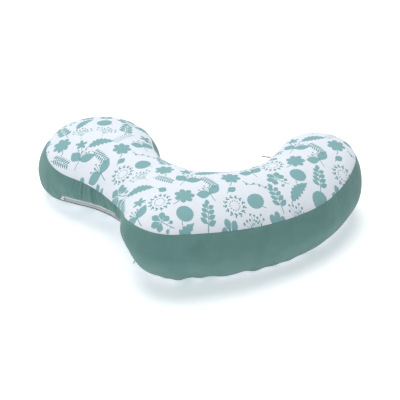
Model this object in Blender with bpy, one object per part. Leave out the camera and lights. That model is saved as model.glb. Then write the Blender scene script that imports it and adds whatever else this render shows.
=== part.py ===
"""A nursing pillow: a zipped cotton cover round a fibre-filled inner pillow. Metres, +Z up.

+X runs from the round lobe to the short arm, and +Y towards the opening for the waist. The pillow
lies on z = 0, with its origin under the middle of its box.

Every layer follows the same two seam lines. A layer's "inset" is how far inside the cover's outer
face it lies, so nested layers keep their gaps when a size changes.
"""

import math

import bmesh
import bpy
import numpy as np
from mathutils import Matrix, Vector
from mathutils.geometry import delaunay_2d_cdt

MM = 0.001
DEG = math.pi / 180

# The upper seam in plan: three round ends, joined by arcs that meet them smoothly.
LOBE_CENTRE = (-213 * MM, 119 * MM)
LOBE_R = 110 * MM
BELLY_CENTRE = (-57 * MM, -114 * MM)
BELLY_R = 90 * MM
TIP_CENTRE = (229 * MM, 48 * MM)
TIP_R = 78 * MM
WAIST_R = 220 * MM
FRONT_R = 552 * MM
SHOULDER_R = 268 * MM
SHOULDER_TURN = -20 * DEG
OPENING_R = 140 * MM

# Heights of the upper and lower seams, how far the lower seam lies in from the upper one, and how
# far the side band bulges past the straight line between them.
SEAM_Z = {"lobe": 122, "waist": 107, "belly": 144, "shoulder": 124, "tip": 150, "opening": 119}
LOW_Z = {"lobe": 12, "belly": 16, "shoulder": 9, "tip": 11, "opening": 16}
LOW_INSET = {"lobe": -5, "belly": 27, "shoulder": 12, "tip": 2, "opening": 8}
BULGE = {"lobe": 23, "waist": 5, "belly": 27, "shoulder": 21, "tip": 20, "opening": 12}

# The lobe keeps its low seam as far as one of these stations, and the belly has its own at the other.
LOW_HOLD = {"lobe": 0.70, "belly": 2.45}

# Over the waist the lower seam, and the zip above it, follow a circle that rises towards the belly.
# It passes this far in from the upper seam, and this high, at the zip arc's start, middle and end.
ZIP_MARKS = {"start": (13, 34), "middle": (26, 36), "end": (21, 41)}

# The top panel rises by CROWN in the middle of an arm CROWN_SPAN wide. The bottom one drops by DROP.
CROWN = 38 * MM
DROP = 46 * MM
CROWN_SPAN = 167 * MM
CROWN_POWER = 0.7

# Cloth and the gaps between layers.
CLOTH = 0.9 * MM
LINER_CLOTH = 0.6 * MM
LINER_CLEAR = 1.0 * MM
GAP = 0.4 * MM
FILL_GAP = 0.9 * MM
LINER_FOOT = 3 * MM
BAND_JOIN_GAP = 0.3 * MM

# The zip stands upright in a slot between the band's lower edge and the lower seam.
SLOT_H = 12.5 * MM
SLOT_RAMP = 22 * MM
ZIP_LEAD = 60 * MM
ZIP_OVERRUN = 30 * MM
ZIP_SPARE = 6 * MM
TAPE = 0.6 * MM
TAPE_BEHIND = 0.8 * MM
TAPE_TURN = 3.2 * MM
TAPE_TAIL = 2.5 * MM
CHAIN_SPLIT = 1.6 * MM
COIL_W = 2.4 * MM
COIL_OUT = 1.4 * MM
COIL_IN = 0.9 * MM
STOP_L = 2.2 * MM

# The slider rides on the chain, and its pull hangs from a bail.
SLIDER_L = 10.5 * MM
SLIDER_PLATE = 1.0 * MM
SLIDER_CLEARANCE = 0.5 * MM
SLIDER_RAIL = 0.7 * MM
SLIDER_SIDE_GAP = 0.3 * MM
SLIDER_W = CHAIN_SPLIT + 2 * (COIL_W + SLIDER_SIDE_GAP + SLIDER_RAIL)
SLIDER_POST = 1.0 * MM
SLIDER_POST_L = 2.4 * MM
SLIDER_REST = 2 * MM
BAIL_R = 0.6 * MM
BAIL_SPAN = 5.6 * MM
EYE_R = 2.2 * MM
EYE_W = 2.4 * MM
EYE_PLAY = 0.5 * MM
PULL_L = 27 * MM
PULL_W = 6.0 * MM
PULL_T = 1.3 * MM
PULL_LEAN = 25 * DEG
SLIDER_FACE = -COIL_OUT - SLIDER_CLEARANCE
SLIDER_BACK = CLOTH + GAP + TAPE + SLIDER_CLEARANCE
LINER_INSET = SLIDER_BACK + SLIDER_PLATE + LINER_CLEAR
BAIL_X = SLIDER_FACE - SLIDER_PLATE - GAP - EYE_R

# The blank ribbon loop sewn into the upper seam.
LABEL_AT = 6 + 1 / 12
LABEL_DROOP = 18 * DEG
LABEL_CLEAR = 1.6 * MM
LABEL_L = 28 * MM
LABEL_W = 12 * MM
LABEL_CLOTH = 0.4 * MM
LABEL_FOLD = 1.3 * MM

# United parts are stepped this far in from each other's faces, so no two faces share a plane.
STEP = 0.1 * MM

# How finely each shape is drawn.
ARCS = ("lobe", "waist", "belly", "front", "shoulder", "tip", "opening")
ARC_STEPS = {"lobe": 20, "waist": 14, "belly": 10, "front": 9, "shoulder": 5, "tip": 10, "opening": 12}
BAND_ROWS = 4
LABEL_STEPS = 6
RIM = 13 * MM
GRID = 44 * MM
LEAST_STEP = 2 * MM
JOIN_AT = (0.10, 5.90)
LINER_JOIN_AT = 6.5


def clear_scene():
    for old in list(bpy.data.objects):
        bpy.data.objects.remove(old, do_unlink=True)


def finish(name):
    """A material for each node: colour, roughness and metallic."""
    looks = {
        "cover_top_panel": ((0.80, 0.82, 0.85), 0.90, 0.0),
        "cover_bottom_panel": ((0.80, 0.82, 0.85), 0.90, 0.0),
        "cover_band_outer": ((0.16, 0.30, 0.29), 0.90, 0.0),
        "cover_band_inner": ((0.16, 0.30, 0.29), 0.90, 0.0),
        "zip_slider": ((0.86, 0.87, 0.88), 0.35, 0.0),
        "zip_pull": ((0.82, 0.83, 0.85), 0.35, 0.0),
        "fibre_fill": ((0.90, 0.90, 0.88), 1.0, 0.0),
    }
    colour, roughness, metallic = looks.get(name, ((0.85, 0.86, 0.88), 0.80, 0.0))
    material = bpy.data.materials.new(name)
    material.use_nodes = True
    shader = material.node_tree.nodes["Principled BSDF"]
    shader.inputs["Base Color"].default_value = (*colour, 1.0)
    shader.inputs["Roughness"].default_value = roughness
    shader.inputs["Metallic"].default_value = metallic
    return material


def add_object(name, points, faces):
    """An object of these points and faces, with its faces turned outwards."""
    mesh = bpy.data.meshes.new(name)
    mesh.from_pydata([tuple(p) for p in points], [], [tuple(f) for f in faces])
    shell = bmesh.new()
    shell.from_mesh(mesh)
    bmesh.ops.recalc_face_normals(shell, faces=shell.faces)
    bmesh.ops.triangulate(shell, faces=shell.faces)
    shell.to_mesh(mesh)
    shell.free()
    mesh.shade_smooth()
    mesh.set_sharp_from_angle(angle=40 * DEG)
    mesh.materials.append(finish(name))
    thing = bpy.data.objects.new(name, mesh)
    bpy.context.scene.collection.objects.link(thing)
    return thing


# The seam lines.


def tangent_centre(circle_a, circle_b, radius, side):
    """Centre of the arc of this signed radius that meets both circles smoothly, on one side of the line a-b."""
    (a, radius_a), (b, radius_b) = circle_a, circle_b
    a, b = np.array(a), np.array(b)
    to_a, to_b = abs(radius - radius_a), abs(radius - radius_b)
    between = np.hypot(*(b - a))
    along = (between**2 + to_a**2 - to_b**2) / (2 * between)
    across = math.sqrt(max(to_a**2 - along**2, 0.0))
    unit = (b - a) / between
    return a + along * unit + side * across * np.array([-unit[1], unit[0]])


def seam_arcs():
    """(centre, signed radius) of each arc, counter-clockwise. A hollow arc's radius is negative."""
    lobe = (LOBE_CENTRE, LOBE_R)
    belly = (BELLY_CENTRE, BELLY_R)
    tip = (TIP_CENTRE, TIP_R)
    turn = np.array([math.cos(SHOULDER_TURN), math.sin(SHOULDER_TURN)])
    shoulder = (np.array(TIP_CENTRE) - (SHOULDER_R - TIP_R) * turn, SHOULDER_R)
    waist = (tangent_centre(lobe, belly, -WAIST_R, -1), -WAIST_R)
    front = (tangent_centre(belly, shoulder, FRONT_R, 1), FRONT_R)
    opening = (tangent_centre(tip, lobe, -OPENING_R, -1), -OPENING_R)
    return [lobe, waist, belly, front, shoulder, tip, opening]


def arc_spans(arcs):
    """(first angle, last angle) of each arc, as the direction of the outward normal."""
    ends = []
    for (a, radius_a), (b, radius_b) in zip(arcs, arcs[1:] + arcs[:1]):
        normal = (np.array(b) - np.array(a)) / (radius_a - radius_b)
        ends.append(math.atan2(normal[1], normal[0]))
    spans = []
    for i, (_, radius) in enumerate(arcs):
        first, last = ends[i - 1], ends[i]
        way = 1 if radius > 0 else -1
        spans.append((first, first + way * ((way * (last - first)) % (2 * math.pi))))
    return spans


SEAM = seam_arcs()
SPANS = arc_spans(SEAM)
LENGTHS = [abs(radius * (last - first)) for (_, radius), (first, last) in zip(SEAM, SPANS)]
STARTS = [sum(LENGTHS[:i]) for i in range(len(LENGTHS))]
ROUND = sum(LENGTHS)

# A station is an arc's number plus the share of the arc, so 1.5 is the middle of the waist.
MIDDLES = {"lobe": 0.5, "waist": 1.5, "belly": 2.5, "shoulder": 4.0, "tip": 5.5, "opening": 6.5}
ZIP_TO = 2.0 + ZIP_OVERRUN / LENGTHS[2]
ZIP_ARC = (1.0, ZIP_TO + ZIP_SPARE / LENGTHS[2])


def distance_of(station):
    """Metres along the seam from the first arc's start."""
    arc = int(station % len(ARCS))
    return STARTS[arc] + (station % 1.0) * LENGTHS[arc]


def station_of(distance):
    """The station at this many metres along the seam."""
    distance = distance % ROUND
    arc = max(i for i, start in enumerate(STARTS) if start <= distance)
    return arc + (distance - STARTS[arc]) / LENGTHS[arc]


def seam_point(station):
    """(point, outward normal) on the upper seam in plan."""
    arc = int(station % len(ARCS))
    (centre, radius), (first, last) = SEAM[arc], SPANS[arc]
    angle = first + (station % 1.0) * (last - first)
    normal = np.array([math.cos(angle), math.sin(angle)])
    return np.array(centre) + radius * normal, normal


def eased(share):
    share = min(max(share, 0.0), 1.0)
    return (1 - math.cos(math.pi * share)) / 2


def along(station, places):
    """The value at a station, eased between the (station, value) places on either side."""
    here = distance_of(station)
    marks = sorted((distance_of(place), value) for place, value in places)
    marks = [(marks[-1][0] - ROUND, marks[-1][1])] + marks + [(marks[0][0] + ROUND, marks[0][1])]
    for (start, before), (end, after) in zip(marks, marks[1:]):
        if start <= here <= end:
            return before + (after - before) * eased((here - start) / (end - start))
    return marks[0][1]


def circle_through(a, b, c):
    """(centre, axis, radius) of the circle through three points. Its axis points up."""
    u, v = b - a, c - a
    axis = np.cross(u, v)
    to_centre = np.cross(axis, u) * float(v @ v) + np.cross(v, axis) * float(u @ u)
    to_centre /= 2 * float(axis @ axis)
    axis *= math.copysign(1 / np.linalg.norm(axis), axis[2])
    return a + to_centre, axis, float(np.linalg.norm(to_centre))


def zip_circle():
    marks = []
    for station, name in ((ZIP_ARC[0], "start"), (1.5, "middle"), (ZIP_ARC[1], "end")):
        point, normal = seam_point(station)
        inset, height = (value * MM for value in ZIP_MARKS[name])
        marks.append(np.array([*(point - inset * normal), height]))
    return circle_through(*marks)


ZIP_CENTRE, ZIP_AXIS, ZIP_R = zip_circle()


def on_zip_arc(station):
    return ZIP_ARC[0] <= station % len(ARCS) <= ZIP_ARC[1]


def zip_arc_point(station):
    """(inset, height) where the zip's circle crosses the upright plane along the seam's normal."""
    point, normal = seam_point(station)
    start = np.array([*point, 0.0]) - ZIP_CENTRE
    start[2] = -float(start[:2] @ ZIP_AXIS[:2]) / ZIP_AXIS[2]
    step = np.array([*-normal, float(normal @ ZIP_AXIS[:2]) / ZIP_AXIS[2]])
    a, b, c = float(step @ step), float(start @ step), float(start @ start) - ZIP_R**2
    inset = (-b + math.sqrt(b * b - a * c)) / a
    return inset, ZIP_CENTRE[2] + start[2] + inset * step[2]


def low_seam(station, values, part):
    """The lower seam's inset (part 0) or height (part 1): on the zip's circle, or eased between places."""
    if on_zip_arc(station):
        return zip_arc_point(station)[part]
    places = [(MIDDLES[name], values[name] * MM) for name in ("lobe", "shoulder", "tip", "opening")]
    places += [(LOW_HOLD[name], values[name] * MM) for name in ("lobe", "belly")]
    places += [(end, zip_arc_point(end)[part]) for end in ZIP_ARC]
    return along(station, places)


def seam_z(station):
    return along(station, [(MIDDLES[name], value * MM) for name, value in SEAM_Z.items()])


def low_z(station):
    return low_seam(station, LOW_Z, 1)


def low_inset(station):
    return low_seam(station, LOW_INSET, 0)


def bulge(station):
    return along(station, [(MIDDLES[name], value * MM) for name, value in BULGE.items()])


def zip_start():
    """Where the zip's slot begins, on the lobe."""
    return station_of(distance_of(1.0) - ZIP_LEAD)


def slot_height(station):
    """The slot for the zip, which closes over SLOT_RAMP at each end."""
    here = distance_of(station)
    first = distance_of(zip_start())
    last = distance_of(ZIP_TO) + SLOT_RAMP
    return SLOT_H * eased((here - first) / SLOT_RAMP) * eased((last - here) / SLOT_RAMP)


def out_from(station, distance, z):
    """A point this far outside the upper seam."""
    point, normal = seam_point(station)
    return (*(point + distance * normal), z)


def band_point(station, share, inset, edge_z):
    """A point on the side band, from the upper seam (share 0) to its lower edge (share 1)."""
    swell = bulge(station) * 4 * share * (1 - share)
    out = swell - low_inset(station) * share - inset
    top_z = seam_z(station) - inset
    return out_from(station, out, top_z + (edge_z - top_z) * share)


def ring_stations():
    return [i + k / ARC_STEPS[name] for i, name in enumerate(ARCS) for k in range(ARC_STEPS[name])]


RING = ring_stations()


# The panels.


def plan_mesh(rim, inner):
    """Points and triangles that fill a rim of plan points, with a second loop of points inside it."""
    loop = np.array(rim)
    low, high = loop.min(axis=0), loop.max(axis=0)
    rows = np.arange(low[1], high[1], GRID * math.sqrt(3) / 2)
    grid = [
        (x + (row % 2) * GRID / 2, y) for row, y in enumerate(rows) for x in np.arange(low[0], high[0], GRID)
    ]
    core = np.array(inner)
    kept = [p for p in grid if inside(p, core) and np.hypot(*(core - p).T).min() > 0.45 * GRID]
    points = [Vector(p) for p in [*rim, *inner, *kept]]
    count = len(rim)
    edges = [(i, (i + 1) % count) for i in range(count)]
    edges += [(count + i, count + (i + 1) % count) for i in range(count)]
    _, _, faces, sources, _, _ = delaunay_2d_cdt(points, edges, [], 0, 1e-7)
    flat = np.array([p[:] for p in points])
    triangles = []
    for face in faces:
        corners = [sources[i][0] for i in face]
        if inside(flat[corners].mean(axis=0), loop):
            triangles.append(corners)
    return flat, triangles


def inside(point, loop):
    """Whether a plan point lies inside a closed loop."""
    ahead = np.roll(loop, -1, axis=0)
    spans = (loop[:, 1] > point[1]) != (ahead[:, 1] > point[1])
    rise = np.where(spans, ahead[:, 1] - loop[:, 1], 1.0)
    cut = loop[:, 0] + (point[1] - loop[:, 1]) / rise * (ahead[:, 0] - loop[:, 0])
    return bool((spans & (point[0] < cut)).sum() % 2)


def stretched_film(flat, triangles, held):
    """(spread, swell): matrices that carry the rim's heights inwards, and a loaded film's heights."""
    count = len(flat)
    stiffness = np.zeros((count, count))
    load = np.zeros(count)
    for corners in triangles:
        a, b, c = (flat[i] for i in corners)
        doubled = abs((b[0] - a[0]) * (c[1] - a[1]) - (b[1] - a[1]) * (c[0] - a[0]))
        load[list(corners)] += doubled / 6
        for i, j, k in ((0, 1, 2), (1, 2, 0), (2, 0, 1)):
            arm_i = flat[corners[i]] - flat[corners[k]]
            arm_j = flat[corners[j]] - flat[corners[k]]
            weight = float(arm_i @ arm_j) / (2 * doubled)
            p, q = corners[i], corners[j]
            stiffness[p, q] -= weight
            stiffness[q, p] -= weight
            stiffness[p, p] += weight
            stiffness[q, q] += weight
    free = np.arange(held, count)
    core = stiffness[np.ix_(free, free)]
    spread = np.linalg.solve(core, -stiffness[np.ix_(free, np.arange(held))])
    return spread, np.linalg.solve(core, load[free])


def panel_shape(upper):
    """Plan points, triangles and heights of the cover's top or bottom panel."""
    rims = []
    for depth in (0.0, RIM):
        shift = [(0.0 if upper else -low_inset(s)) - depth for s in RING]
        rims.append([out_from(s, out, 0.0)[:2] for s, out in zip(RING, shift)])
    flat, triangles = plan_mesh(*rims)
    edge = np.array([seam_z(s) if upper else low_z(s) for s in RING])
    spread, film = stretched_film(flat, triangles, len(RING))
    swell = (np.maximum(film, 0.0) / (CROWN_SPAN**2 / 8)) ** CROWN_POWER
    if upper:
        middle = spread @ edge + CROWN * swell
    else:
        middle = np.maximum(spread @ edge - DROP * swell, 0.0)
    return flat, triangles, np.concatenate([edge, middle])


TOP = panel_shape(True)
BOTTOM = panel_shape(False)


def panel_skin(upper, inset):
    """The panel's points, this far inside the cover's outer face."""
    flat, triangles, heights = TOP if upper else BOTTOM
    sign = -1 if upper else 1
    points = [(x, y, z + sign * inset) for (x, y), z in zip(flat, heights)]
    for i, station in enumerate(RING):
        out = -inset if upper else -low_inset(station) - inset
        points[i] = out_from(station, out, points[i][2])
    return points, triangles


def make_panel(name, upper, inset, cloth):
    outer, triangles = panel_skin(upper, inset)
    inner, _ = panel_skin(upper, inset + cloth)
    count = len(outer)
    faces = [tuple(t) for t in triangles] + [tuple(count + i for i in reversed(t)) for t in triangles]
    rim = len(RING)
    for i in range(rim):
        j = (i + 1) % rim
        faces.append((i, j, count + j, count + i))
    return add_object(name, outer + inner, faces)


# The side bands and every other long strip.


def on_facets(section, station):
    """The section at a station. Between two of the ring's stations it is a mix of theirs."""
    arc = int(station % len(ARCS))
    steps = ARC_STEPS[ARCS[arc]]
    before, share = divmod((station % 1) * steps, 1)
    if share < 1e-6:
        return section(station)
    sides = [np.array(section(arc + (before + k) / steps)) for k in (0, 1)]
    return [tuple(p) for p in sides[0] * (1 - share) + sides[1] * share]


def sweep(name, stations, section):
    """A solid through the section that on_facets(section, station) gives at each station, closed at both ends."""
    sections = [section(s) for s in stations]
    size = len(sections[0])
    points = [p for ring in sections for p in ring]
    faces = []
    for here in range(0, len(points) - size, size):
        for k in range(size):
            n = (k + 1) % size
            faces.append((here + k, here + n, here + size + n, here + size + k))
    for start in (0, len(points) - size):
        for k in range(size // 2 - 1):
            faces.append((start + k, start + k + 1, start + size - 2 - k, start + size - 1 - k))
    return add_object(name, points, faces)


def layered(outer, inner):
    """A closed section from matching rows of outer and inner points."""
    return outer + inner[::-1]


def band_rows(station, depth, foot):
    """Points down the band at one depth. A foot stands the last stretch upright behind the zip."""
    edge_z = low_z(station) + depth + slot_height(station) + foot
    return [band_point(station, k / BAND_ROWS, depth, edge_z) for k in range(BAND_ROWS + 1)]


def lowered(point, drop):
    return (point[0], point[1], point[2] - drop)


def band_section(inset, cloth, foot):
    """A band's section. Its edges keep GAP from the panels' rims."""

    def section(station):
        layers = []
        for depth in (inset, inset + cloth):
            rows = band_rows(station, depth, foot + GAP)
            rows[0] = lowered(rows[0], GAP)
            if foot:
                rows.append(lowered(rows[-1], slot_height(station) + foot))
            layers.append(rows)
        return layered(*layers)

    return section


def stations_between(first, last):
    """The ring's stations from first to last, going round past the seam's start if need be."""
    start, end = distance_of(first), distance_of(last)
    if end < start:
        end += ROUND
    found = []
    for station in RING:
        for turn in (0, ROUND):
            here = distance_of(station) + turn
            if start + LEAST_STEP < here < end - LEAST_STEP:
                found.append((here, station))
    return [first] + [station for _, station in sorted(found)] + [last]


def make_bands():
    half = BAND_JOIN_GAP / 2
    joins = [distance_of(s) for s in JOIN_AT]
    ends = [station_of(joins[0] + half), station_of(joins[1] - half)]
    starts = [station_of(joins[1] + half), station_of(joins[0] - half)]
    section = band_section(0.0, CLOTH, 0.0)
    sweep("cover_band_outer", stations_between(*ends), section)
    sweep("cover_band_inner", stations_between(*starts), section)
    split = distance_of(LINER_JOIN_AT)
    liner_ends = [station_of(split + half), station_of(split - half)]
    section = band_section(LINER_INSET, LINER_CLOTH, LINER_FOOT)
    sweep("liner_band", stations_between(*liner_ends), section)


def make_fill():
    """The filling: one solid between the liner's three pieces."""
    inset = LINER_INSET + LINER_CLOTH + FILL_GAP
    top, top_faces = panel_skin(True, inset)
    bottom, bottom_faces = panel_skin(False, inset)
    rim = len(RING)
    points = top + bottom
    faces = [tuple(t) for t in top_faces]
    faces += [tuple(len(top) + i for i in reversed(t)) for t in bottom_faces]
    sides = [band_rows(s, inset, LINER_FOOT) for s in RING]
    rows = [list(range(rim))]
    for k in range(1, BAND_ROWS + 1):
        rows.append(list(range(len(points), len(points) + rim)))
        points += [side[k] for side in sides]
    rows.append(list(range(len(top), len(top) + rim)))
    for upper, lower in zip(rows, rows[1:]):
        for i in range(rim):
            j = (i + 1) % rim
            faces.append((upper[i], upper[j], lower[j], lower[i]))
    return add_object("fibre_fill", points, faces)


# The zip.


def zip_frame(station):
    """(point, out, up) on the lower seam: out of the pillow and across the zip."""
    point, normal = seam_point(station)
    base = np.array([*(point - low_inset(station) * normal), low_z(station)])
    if not on_zip_arc(station):
        return base, np.array([*normal, 0.0]), np.array([0.0, 0.0, 1.0])
    return base, (ZIP_CENTRE - base) / ZIP_R, ZIP_AXIS


def on_zip(station, out, up):
    """A point beside the zip: out from the lower seam, and up from the zip's middle."""
    base, outward, upward = zip_frame(station)
    return tuple(base + out * outward + (up + SLOT_H / 2) * upward)


def upper_tape_section(station):
    layers = []
    for depth in (CLOTH + GAP, CLOTH + GAP + TAPE):
        edge_z = low_z(station) + depth + GAP + SLOT_H
        behind = depth + TAPE_BEHIND
        top, edge = [np.array(band_point(station, share, behind, edge_z)) for share in (1 - 1 / BAND_ROWS, 1)]
        layers.append([top + (edge - top) / 2, edge, on_zip(station, -depth, CHAIN_SPLIT / 2)])
    return layered(*layers)


def lower_tape_section(station):
    layers = []
    for depth in (CLOTH + GAP, CLOTH + GAP + TAPE):
        foot = CLOTH + GAP + (depth - CLOTH - GAP) - SLOT_H / 2
        layers.append(
            [
                on_zip(station, -depth, -CHAIN_SPLIT / 2),
                on_zip(station, -depth, foot),
                on_zip(station, -CLOTH - GAP - TAPE - TAPE_TURN, foot),
            ]
        )
    return layered(*layers)


def coil_section(side):
    """A six-sided bar that stands for one half of the chain. side is 1 above the split and -1 below."""
    corners = [(-COIL_IN, 0.2), (-COIL_IN, 0.8), (0.25 * COIL_OUT, 1.0)]
    corners += [(COIL_OUT, 0.75), (COIL_OUT, 0.25), (0.25 * COIL_OUT, 0.0)]

    def section(station):
        return [on_zip(station, out, side * (CHAIN_SPLIT / 2 + share * COIL_W)) for out, share in corners]

    return section


def block_section(bottom, top):
    def section(station):
        corners = [(-COIL_IN, bottom), (-COIL_IN, top), (COIL_OUT, top), (COIL_OUT, bottom)]
        return [on_zip(station, out, up) for out, up in corners]

    return section


def make_chain():
    first = distance_of(zip_start()) + SLOT_RAMP
    last = distance_of(ZIP_TO)
    tape = stations_between(station_of(first - TAPE_TAIL), station_of(last + TAPE_TAIL))
    sweep("zip_tape_upper", tape, upper_tape_section)
    sweep("zip_tape_lower", tape, lower_tape_section)
    coil_first = first + STOP_L + GAP
    coil_last = last - STOP_L - GAP
    coil = stations_between(station_of(coil_first), station_of(coil_last))
    sweep("zip_coil_upper", coil, coil_section(1))
    sweep("zip_coil_lower", coil, coil_section(-1))
    inner, outer = CHAIN_SPLIT / 2, CHAIN_SPLIT / 2 + COIL_W
    top_stop = [station_of(last - STOP_L), station_of(last)]
    sweep("zip_top_stop_upper", top_stop, block_section(inner, outer))
    sweep("zip_top_stop_lower", top_stop, block_section(-outer, -inner))
    sweep("zip_bottom_stop", [station_of(first), station_of(first + STOP_L)], block_section(-outer, outer))


def box(name, low, high):
    """A box between two corners."""
    points = [(x, y, z) for x in (low[0], high[0]) for y in (low[1], high[1]) for z in (low[2], high[2])]
    faces = [(0, 1, 3, 2), (4, 6, 7, 5), (0, 4, 5, 1), (2, 3, 7, 6), (0, 2, 6, 4), (1, 5, 7, 3)]
    return add_object(name, points, faces)


def disc(name, radius, width, sides, hole=0.0):
    """A round bar or ring along Y, about the origin."""
    turns = [2 * math.pi * (k + 0.5) / sides for k in range(sides)]
    radii = (radius, hole) if hole else (radius,)
    rings = [(r, y) for r in radii for y in (-width / 2, width / 2)]
    points = [(r * math.cos(t), y, r * math.sin(t)) for r, y in rings for t in turns]
    faces = []
    for i in range(sides):
        j = (i + 1) % sides
        faces.append((i, j, sides + j, sides + i))
        if hole:
            faces.append((2 * sides + i, 3 * sides + i, 3 * sides + j, 2 * sides + j))
            faces.append((i, 2 * sides + i, 2 * sides + j, j))
            faces.append((sides + i, sides + j, 3 * sides + j, 3 * sides + i))
    if not hole:
        faces += [tuple(range(sides)), tuple(range(sides, 2 * sides))]
    return add_object(name, points, faces)


def unite(body, helpers):
    """Joins helper shapes to a body. Each helper stays as a hidden guide."""
    for helper in helpers:
        helper.parent = body
        helper.hide_render = True
        helper.display_type = "WIRE"
        joint = body.modifiers.new(helper.name, "BOOLEAN")
        joint.operation = "UNION"
        joint.solver = "EXACT"
        joint.object = helper


def empty_at(name, frame, parent=None):
    marker = bpy.data.objects.new(name, None)
    bpy.context.scene.collection.objects.link(marker)
    marker.parent = parent
    marker.matrix_local = frame
    return marker


def slider_rail(side):
    outer, inner = side * (SLIDER_W / 2 - STEP), side * (SLIDER_W / 2 - SLIDER_RAIL)
    reach = SLIDER_L / 2 - STEP
    low = (SLIDER_FACE - SLIDER_PLATE / 2, -reach, min(outer, inner))
    return box("slider_rail", low, (COIL_IN - STEP, reach, max(outer, inner)))


def bail_leg(side):
    outer, inner = side * (BAIL_SPAN / 2 + BAIL_R), side * BAIL_SPAN / 2
    low = (BAIL_X - BAIL_R, min(outer, inner), -BAIL_R)
    return box("bail_leg", low, (SLIDER_FACE - SLIDER_PLATE / 2, max(outer, inner), BAIL_R))


def make_slider():
    """The slider. In its own frame -X points out of the pillow and +Y back along the zip, to the lobe."""
    half_l, half_w = SLIDER_L / 2, SLIDER_W / 2
    slider = box("zip_slider", (SLIDER_FACE - SLIDER_PLATE, -half_l, -half_w), (SLIDER_FACE, half_l, half_w))
    post_low = (SLIDER_FACE - SLIDER_PLATE / 2, -half_l + STEP, -SLIDER_POST / 2)
    post_high = (SLIDER_BACK + SLIDER_PLATE / 2, -half_l + STEP + SLIDER_POST_L, SLIDER_POST / 2)
    bar = disc("bail_bar", BAIL_R - STEP / 5, BAIL_SPAN + BAIL_R, 10)
    bar.location = (BAIL_X, 0.0, 0.0)
    parts = [box("slider_back", (SLIDER_BACK, -half_l, -half_w), (SLIDER_BACK + SLIDER_PLATE, half_l, half_w))]
    parts.append(box("slider_post", post_low, post_high))
    parts += [slider_rail(-1), slider_rail(1), bail_leg(-1), bail_leg(1), bar]
    unite(slider, parts)
    return slider


def make_pull():
    """The pull: an eye round the bail's bar and a flat tab below it."""
    hole = BAIL_R + EYE_PLAY
    pull = disc("zip_pull", EYE_R, EYE_W, 14, hole=hole)
    half_t, half_w = PULL_T / 2, PULL_W / 2
    tab = box("pull_tab", (-half_t, -half_w, -PULL_L), (half_t, half_w, -EYE_R + 2 * STEP))
    half_t, half_w = PULL_T / 2 - STEP, EYE_W / 2 - STEP
    neck_top = -(hole + EYE_R) / 2
    neck = box("pull_neck", (-half_t, -half_w, -EYE_R - EYE_PLAY), (half_t, half_w, neck_top))
    unite(pull, [tab, neck])
    return pull


def hang_slider(slider, pull):
    """Puts the slider on its arc, just short of the bottom stop, and the pull on the slider's bail."""
    turn = (ZIP_SPARE + STOP_L + SLIDER_REST + SLIDER_L / 2) / ZIP_R
    inward = Vector(-zip_frame(ZIP_ARC[1])[1])
    axis = Vector(ZIP_AXIS)
    radial = Matrix.Rotation(turn, 3, axis) @ inward
    frame = Matrix((radial, axis.cross(radial), axis)).transposed().to_4x4()
    frame.translation = Vector(ZIP_CENTRE) + axis * SLOT_H / 2
    travel = empty_at("zip_travel_axis", frame)
    slider.parent = travel
    slider.location = (ZIP_R, 0.0, 0.0)
    lean = Matrix.Rotation(PULL_LEAN, 4, "Y")
    pull.parent = empty_at("pull_axis", Matrix.Translation((ZIP_R + BAIL_X, 0.0, 0.0)) @ lean, travel)


# The ribbon label.


def label_turn(radius):
    """(out, up) round one layer of the folded ribbon: along the top, round the fold and back."""
    fold = LABEL_L - LABEL_FOLD / 2
    turns = [math.pi * (0.5 - k / LABEL_STEPS) for k in range(LABEL_STEPS + 1)]
    bend = [(fold + radius * math.cos(t), radius * math.sin(t)) for t in turns]
    return [(LABEL_CLEAR, radius), *bend, (LABEL_CLEAR, -radius)]


def make_label():
    """A ribbon folded in half, drooping from the upper seam."""
    point, normal = seam_point(LABEL_AT)
    tangent = np.array([-normal[1], normal[0]])
    root_z = seam_z(LABEL_AT) - GAP / 2
    outer, inner = label_turn(LABEL_FOLD / 2), label_turn(LABEL_FOLD / 2 - LABEL_CLOTH)
    points = []
    for side in (-1, 1):
        for out, up in outer + inner[::-1]:
            level = out * math.cos(LABEL_DROOP) + up * math.sin(LABEL_DROOP)
            rise = up * math.cos(LABEL_DROOP) - out * math.sin(LABEL_DROOP)
            place = point + normal * level + tangent * side * LABEL_W / 2
            points.append((*place, root_z + rise))
    size = len(outer) + len(inner)
    faces = []
    for k in range(size):
        n = (k + 1) % size
        faces.append((k, n, size + n, size + k))
    for start in (0, size):
        for k in range(len(outer) - 1):
            faces.append((start + k, start + k + 1, start + size - 2 - k, start + size - 1 - k))
    return add_object("side_label", points, faces)


def settle_origin():
    """Moves everything so that the origin is under the middle of the pillow's box."""
    bpy.context.view_layer.update()
    solids = [o for o in bpy.context.scene.objects if o.type == "MESH" and not o.hide_render]
    corners = np.array([(o.matrix_world @ v.co)[:] for o in solids for v in o.data.vertices])
    middle = (corners.min(axis=0) + corners.max(axis=0)) / 2
    shift = Vector((-middle[0], -middle[1], 0.0))
    for thing in bpy.context.scene.objects:
        if thing.parent is None:
            thing.location += shift


clear_scene()
make_panel("cover_top_panel", True, 0.0, CLOTH)
make_panel("cover_bottom_panel", False, 0.0, CLOTH)
make_panel("liner_top_panel", True, LINER_INSET, LINER_CLOTH)
make_panel("liner_bottom_panel", False, LINER_INSET, LINER_CLOTH)
make_bands()
make_fill()
make_chain()
hang_slider(make_slider(), make_pull())
make_label()
settle_origin()
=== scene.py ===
"""A nursing pillow: an inner pillow of fibre in a zipped cotton cover, printed on top and plain at its side.

Metres, +Z up. +X runs from the round lobe to the short arm, and +Y towards the opening for the waist.
The sections follow the order in which the pillow is filled, cased, zipped and closed.
"""

import math

import bpy
import numpy as np
from mathutils import Matrix, Vector
from mathutils.geometry import delaunay_2d_cdt


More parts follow.
